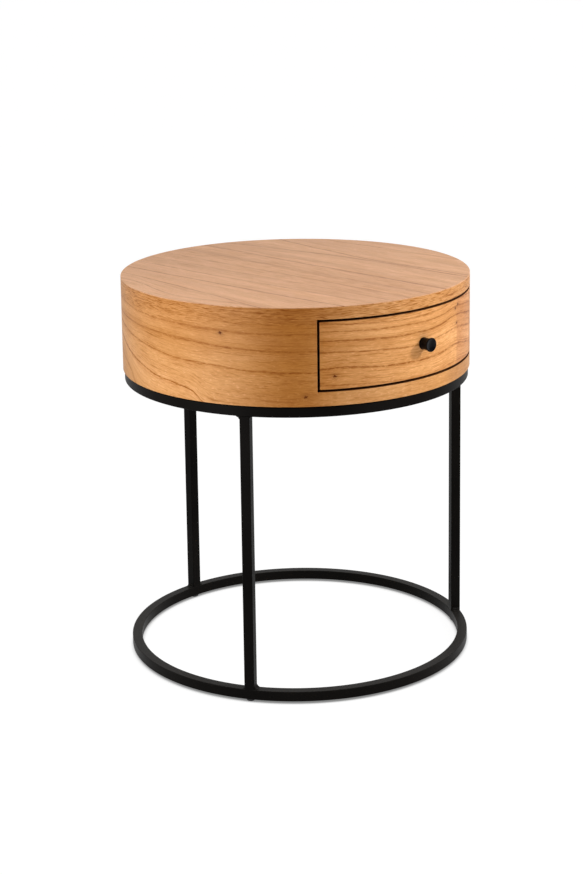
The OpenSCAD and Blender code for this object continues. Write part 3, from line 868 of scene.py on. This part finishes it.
def drum_wall(material):
    """The drum's wall, with the drawer's opening between its sill and its head."""
    bm = bmesh.new()
    first, last = DRAWER_ANGLE - OPENING_ANGLE, DRAWER_ANGLE + OPENING_ANGLE
    angles = [first + (last - first) * n / OPENING_STEPS for n in range(OPENING_STEPS)]
    angles += [last + (360 + first - last) * n / WALL_STEPS for n in range(WALL_STEPS)]
    grid = {}
    for n, degrees in enumerate(angles):
        c, s = math.cos(math.radians(degrees)), math.sin(math.radians(degrees))
        for k, z in enumerate((CASE_Z, SILL_Z, HEAD_Z, LAP_Z)):
            for r in (INNER_R, DRUM_R):
                grid[n, k, r] = bm.verts.new((c * r, AXIS_Y + s * r, z))
    count = len(angles)
    for n in range(count):
        m = (n + 1) % count
        is_open = n < OPENING_STEPS
        for k in ((0, 2) if is_open else (0, 1, 2)):
            for r in (INNER_R, DRUM_R):
                bm.faces.new((grid[n, k, r], grid[m, k, r], grid[m, k + 1, r], grid[n, k + 1, r]))
        for k in ((0, 1, 2, 3) if is_open else (0, 3)):
            bm.faces.new((grid[n, k, INNER_R], grid[m, k, INNER_R], grid[m, k, DRUM_R], grid[n, k, DRUM_R]))
    for n in (0, OPENING_STEPS):
        bm.faces.new((grid[n, 1, INNER_R], grid[n, 1, DRUM_R], grid[n, 2, DRUM_R], grid[n, 2, INNER_R]))
    add_mesh("drum_wall", bm, material, "table", ["case_wall"], WOOD_EDGE)


def drum_top(material):
    """The top: a board inside the wall, and the veneer sheet that laps over the wall's edge."""
    bm = bmesh.new()
    outline = rounded([(0, HEAD_Z), (INNER_R, HEAD_Z), (INNER_R, LAP_Z), (DRUM_R, LAP_Z),
                       (DRUM_R, TABLE_Z, RIM_EDGE), (0, TABLE_Z)])
    turned(bm, [tuple(p) for p in outline], Matrix.Translation((0, AXIS_Y, 0)), ROUND_SEGMENTS)
    add_mesh("drum_top", bm, material, "table", ["top_panel"])


def front_board(material):
    """The curved drawer front."""
    bm = bmesh.new()
    outline = [(INNER_R, FRONT_LO.z), (DRUM_R, FRONT_LO.z), (DRUM_R, FRONT_HI.z), (INNER_R, FRONT_HI.z)]
    spin(bm, outline, FRONT_STEPS, DRAWER_ANGLE - FRONT_ANGLE, 2 * FRONT_ANGLE)
    add_mesh("front_board", bm, material, "drawer", ["drawer_front"], FRONT_EDGE, 3)


# ---- knob ----

# The knob's profile in mm: its foot as (radius, height), its waist as (radius, share of its length), and its
# rim as (depth inside its radius, depth under its face)
KNOB_FOOT = [(0, 0), (7.4, 0), (7.7, 0.3), (7.7, 1.1), (7.6, 1.7), (7.45, 2.6), (7.4, 4.2)]
KNOB_WAIST = [(7.5, 0.45), (7.8, 0.64)]
KNOB_RIM = [(0.5, 2.6), (0.1, 1.7), (0, 1.3), (0, 0.5), (0.15, 0.15), (0.5, 0), (0.95, 0.02), (1.2, 0.15)]
KNOB_DISH, DISH_STEPS, KNOB_SEGMENTS = 1.55 * MM, 8, 96


def turned_knob(material):
    """The knob: a foot, a waist and a rim round a dished face."""
    bm = bmesh.new()
    profile = [(r * MM, z * MM) for r, z in KNOB_FOOT]
    profile += [(r * MM, KNOB_L * share) for r, share in KNOB_WAIST]
    profile += [(KNOB_R - inside * MM, KNOB_L - under * MM) for inside, under in KNOB_RIM]
    edge_r, edge_z = profile[-1]
    bottom_z = KNOB_L - KNOB_DISH
    for step in range(1, DISH_STEPS + 1):
        at = 1 - step / DISH_STEPS
        profile.append((edge_r * at, bottom_z + (edge_z - bottom_z) * at ** 2))
    face_out = Matrix.Translation((0, KNOB_HI.y, KNOB_Z)) @ Matrix.Rotation(math.radians(90), 4, "X")
    turned(bm, profile, face_out, KNOB_SEGMENTS)
    add_mesh("turned_knob", bm, material, "drawer", ["knob"])


# ---- steel frame ----

TUBE_CORNER = 0.8 * MM

# How much shorter than the tube a bead is, and how deep its rows and its root lie
BEAD_INSET, BEAD_SUNK, BEAD_ROOT = 1.2 * MM, 0.3 * MM, 0.8 * MM
BEAD_ALONG, BEAD_AROUND = 14, 8
# A bead's width and rise in mm, and those of some at (leg, top, side)
USUAL_BEAD = (4.2, 4.2)
BEADS = {("left", 0, -1): (3.2, 3.4), ("left", 0, 1): (4.6, 4.8), ("left", 1, -1): (5.6, 5.2),
         ("left", 1, 1): (3.0, 2.8), ("right", 0, -1): (4.4, 4.0), ("right", 0, 1): (4.0, 4.2),
         ("back", 0, -1): (4.4, 4.4), ("back", 1, 1): (4.8, 4.4)}

TAB_IN_TUBE, TAB_CORNER, TAB_EDGE = 0.5 * MM, 3 * MM, 0.3 * MM
# A glide's underside as (depth inside its radius, height) in mm
GLIDE_UNDERSIDE = [(1.6, 0), (0.9, 0.2), (0.3, 0.8), (0, 1.5)]
GLIDE_EDGE, GLIDE_PIN_R, GLIDE_SEGMENTS = 0.3 * MM, 3 * MM, 48


def rolled_ring(name, node, z0, z1, material):
    """A ring of square tube."""
    bm = bmesh.new()
    outline = rounded([(RING_R - TUBE, z0), (RING_R, z0), (RING_R, z1), (RING_R - TUBE, z1)], TUBE_CORNER)
    spin(bm, outline, ROUND_SEGMENTS)
    add_mesh(name, bm, material, "table", [node])


def leg_tube(name, node, degrees, material):
    """A leg of the same tube."""
    bm = bmesh.new()
    h = TUBE / 2
    outline = rounded([(LEG_R - h, -h), (LEG_R + h, -h), (LEG_R + h, h), (LEG_R - h, h)], TUBE_CORNER)
    extrude(bm, outline, LEG_Z, LEG_TOP_Z, at_angle(degrees))
    add_mesh(name, bm, material, "table", [node])


def bead(bm, place, size, rise, seed):
    """A weld bead in the corner between a leg's side and a ring. Its local X runs along the bead."""
    length = TUBE - BEAD_INSET
    rows = []
    for n in range(BEAD_ALONG + 1):
        u = n / BEAD_ALONG
        x = (u - 0.5) * length
        end = min(1.0, 5 * u, 5 * (1 - u))
        end = math.sqrt(end * (2 - end))
        row = []
        for k in range(BEAD_AROUND + 1):
            v = k / BEAD_AROUND
            a = v * math.pi / 2
            lump = noise.noise(Vector((u * 3.2 + seed, v * 1.3, seed * 0.7)))
            ripple = math.sin(u * 26 + seed) * 0.05
            reach = 0.60 + 0.44 * abs(v - 0.5) * 2 + 0.14 * lump + ripple
            y = math.cos(a) * size * reach * end
            z = math.sin(a) * rise * reach * end
            row.append(bm.verts.new(place @ Vector((x, y - BEAD_SUNK, z - BEAD_SUNK))))
        row.append(bm.verts.new(place @ Vector((x, -BEAD_ROOT, -BEAD_ROOT))))
        rows.append(row)
    for low, high in zip(rows, rows[1:]):
        bridge(bm, low, high)
    bm.faces.new(rows[0])
    bm.faces.new(reversed(rows[-1]))


def weld_beads(material):
    """Beads at both sides of each leg's two ends, each a little different."""
    bm = bmesh.new()
    for leg, degrees in LEGS.items():
        for top in (0, 1):
            for side in (-1, 1):
                size, rise = BEADS.get((leg, top, side), USUAL_BEAD)
                height = LEG_TOP_Z if top else LEG_Z
                place = at_angle(degrees) @ Matrix.Translation((LEG_R, side * TUBE / 2, height))
                flip = Matrix.Diagonal((1, side, -1 if top else 1, 1))
                seed = degrees * 0.13 + top * 5.1 + side * 2.3
                bead(bm, place @ flip, size * MM, rise * MM, seed)
    add_mesh("weld_beads", bm, material, "table", ["welds"])


def fixing_tab(name, node, degrees, material):
    """The plate inside the top ring that the drum is screwed to."""
    bm = bmesh.new()
    w = (TAB_HI.x - TAB_LO.x) / 2
    length = TAB_HI.y - TAB_LO.y
    outer = RING_R - TUBE + TAB_IN_TUBE
    inner = outer - length
    outline = rounded([(inner, -w, TAB_CORNER), (outer, -w), (outer, w), (inner, w, TAB_CORNER)])
    extrude(bm, outline, TAB_LO.z, TAB_HI.z, at_angle(degrees))
    add_mesh(name, bm, material, "table", [node], TAB_EDGE)


def foot_glide(name, node, degrees, material):
    """A glide under the base ring, with its pin in the tube."""
    bm = bmesh.new()
    r, top = GLIDE_HI.x, RING_LO.z
    profile = [(0, 0)] + [(r - inside * MM, z * MM) for inside, z in GLIDE_UNDERSIDE]
    profile += [(r, top - GLIDE_EDGE), (r - GLIDE_EDGE, top), (GLIDE_PIN_R, top)]
    profile += [(GLIDE_PIN_R, GLIDE_HI.z), (0, GLIDE_HI.z)]
    turned(bm, profile, at_angle(degrees) @ Matrix.Translation((LEG_R, 0, 0)), GLIDE_SEGMENTS)
    add_mesh(name, bm, material, "table", [node])


HEAD_STEPS, HEAD_RINGS, SHANK_SEGMENTS = 64, 14, 24
SCREW_HEAD_R, SHANK_R, SHANK_L, SCREW_L = 4 * MM, 2 * MM, 12 * MM, 14 * MM
# The cross recess in shares of the head: its reach, its arms' half width and its depth
RECESS_REACH, RECESS_ARM, RECESS_DEPTH = 0.58, 0.13, 0.62


def head_z(x, y, height):
    """The height of a domed head with a cross recess, at a point in shares of its radius."""
    reach = math.hypot(x, y)
    z = height * math.sqrt(1 - (reach * 0.94) ** 2.6)
    if reach < RECESS_REACH and min(abs(x), abs(y)) < RECESS_ARM:
        z -= height * RECESS_DEPTH * (1 - (reach / 0.6) ** 4)
    return z


def screw_head(bm, place, radius, height, recess_turn):
    """A screw's head. Its top looks along local +Z."""
    angles = [2 * math.pi * n / HEAD_STEPS for n in range(HEAD_STEPS)]
    rings = []
    for ring in range(HEAD_RINGS + 1):
        at = ring / HEAD_RINGS
        row = []
        for a in angles:
            z = head_z(*spoke(a + recess_turn, at, height))
            row.append(bm.verts.new(place @ spoke(a, radius * at, z)))
        rings.append(row)
    rings.append([bm.verts.new(place @ spoke(a, radius, 0)) for a in angles])
    for low, high in zip(rings, rings[1:]):
        bridge(bm, low, high)
    bm.faces.new(reversed(rings[-1]))


def tab_screws(material):
    """The screws that hold the drum to the tabs."""
    bm = bmesh.new()
    hole_r = AXIS_Y - (CASE_SCREW_LO.y + SCREW_HEAD_R)
    down = Matrix.Rotation(math.pi, 4, "X")
    shank = [(0, 0), (SHANK_R, 0), (SHANK_R, SHANK_L), (0, SCREW_L)]
    for number, degrees in enumerate(TABS.values()):
        place = at_angle(degrees) @ Matrix.Translation((hole_r, 0, TAB_LO.z))
        screw_head(bm, place @ down, SCREW_HEAD_R, TAB_LO.z - CASE_SCREW_LO.z, 0.5 + number)
        turned(bm, shank, place, SHANK_SEGMENTS)
    add_mesh("tab_screws", bm, material, "table", ["case_screws"])


# ---- plain boards ----

BOARD_EDGE, BOTTOM_EDGE, BOTTOM_STEPS = 0.5 * MM, 0.2 * MM, 24


def board(name, node, material):
    """A flat board of the drawer in the box of a CAD board, with eased edges."""
    bm = bmesh.new()
    lo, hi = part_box(node)
    extrude(bm, [(lo.x, lo.y), (hi.x, lo.y), (hi.x, hi.y), (lo.x, hi.y)], lo.z, hi.z)
    add_mesh(name, bm, material, "drawer", [node], BOARD_EDGE)


def drawer_bottom_board(material):
    """The drawer's bottom, whose front end is curved to sit in the front board's groove."""
    bm = bmesh.new()
    lo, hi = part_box("drawer_bottom")
    arc_r = AXIS_Y - lo.y
    half = math.asin(hi.x / arc_r)
    outline = [(hi.x, hi.y), (lo.x, hi.y)]
    for n in range(BOTTOM_STEPS + 1):
        a = -half + 2 * half * n / BOTTOM_STEPS
        outline.append((math.sin(a) * arc_r, AXIS_Y - math.cos(a) * arc_r))
    extrude(bm, outline, lo.z, hi.z)
    add_mesh("drawer_bottom_board", bm, material, "drawer", ["drawer_bottom"], BOTTOM_EDGE)


def paint(material, *nodes):
    """Give CAD nodes that stay another material."""
    for name in nodes:
        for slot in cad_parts[name].material_slots:
            slot.material = material


# ---- assembly ----


def make_drum():
    wall = round_veneer("veneer_wall", WALL_WOOD, WALL_LINES, WALL_KNOTS, WALL_SPACING, 1.0)
    front = round_veneer("veneer_front", FRONT_WOOD, FRONT_LINES, FRONT_KNOTS, FRONT_SPACING, 41.0,
                         FRONT_CONTRAST, PINK_FROM)
    top = top_veneer("veneer_top", TOP_LINES, 81.0)
    drum_wall(wall)
    drum_top(top)
    front_board(front)
    turned_knob(knob_black())


def make_steel_frame():
    coat = powder_coat()
    rolled_ring("rolled_base_ring", "base_ring", RING_LO.z, RING_HI.z, coat)
    rolled_ring("rolled_top_ring", "top_ring", TOP_RING_LO.z, TOP_RING_HI.z, coat)
    for side, degrees in LEGS.items():
        leg_tube(f"leg_tube_{side}", f"leg_{side}", degrees, coat)
    weld_beads(coat)
    for side, degrees in TABS.items():
        fixing_tab(f"fixing_tab_{side}", f"tab_{side}", degrees, coat)
    glide_black = soft_black("glide_black", 0.5)
    for side, degrees in LEGS.items():
        foot_glide(f"foot_glide_{side}", f"glide_{side}", degrees, glide_black)


def make_inside():
    for side in ("left", "right"):
        name = f"drawer_side_{side}"
        board(f"{name}_board", name, plywood(f"ply_{name}", 0, 1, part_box(name), 5.0 + len(side)))
        name = f"partition_{side}"
        paint(plywood(f"ply_{name}", 0, 1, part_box(name), 15.0 + len(side), PARTITION_TINT), name)
    board("drawer_back_board", "drawer_back", plywood("ply_back", 1, 0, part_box("drawer_back"), 25.0))
    drawer_bottom_board(plywood("ply_drawer_bottom", 2, 1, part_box("drawer_bottom"), 30.0))
    case_bottom = plywood("ply_case_bottom", 2, 1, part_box("bottom_panel"), 35.0, CASE_BOTTOM_TINT)
    paint(case_bottom, "bottom_panel")


def make_hardware():
    screw_zinc = zinc("screw_zinc", (0.62, 0.61, 0.58), 0.32, 2)
    slide_zinc = zinc("slide_zinc", (0.66, 0.66, 0.65), 0.30, 1)
    ball_steel = zinc("ball_steel", (0.72, 0.72, 0.73), 0.12, 0)
    rubber = soft_black("bumper_rubber", 0.7)
    tab_screws(screw_zinc)
    paint(screw_zinc, "knob_screw", "case_slide_screws", "drawer_slide_screws")
    for side in ("left", "right"):
        paint(slide_zinc, f"slide_outer_{side}", f"slide_inner_{side}", f"ball_cage_{side}")
        paint(ball_steel, f"balls_{side}")
        paint(rubber, f"bumper_{side}")


bpy.context.scene.view_settings.view_transform = "Standard"
make_camera()
make_world()
make_floor()
for lamp_name, lamp_values in LAMPS.items():
    make_lamp(lamp_name, *lamp_values)
make_drum()
make_steel_frame()
make_inside()
make_hardware()
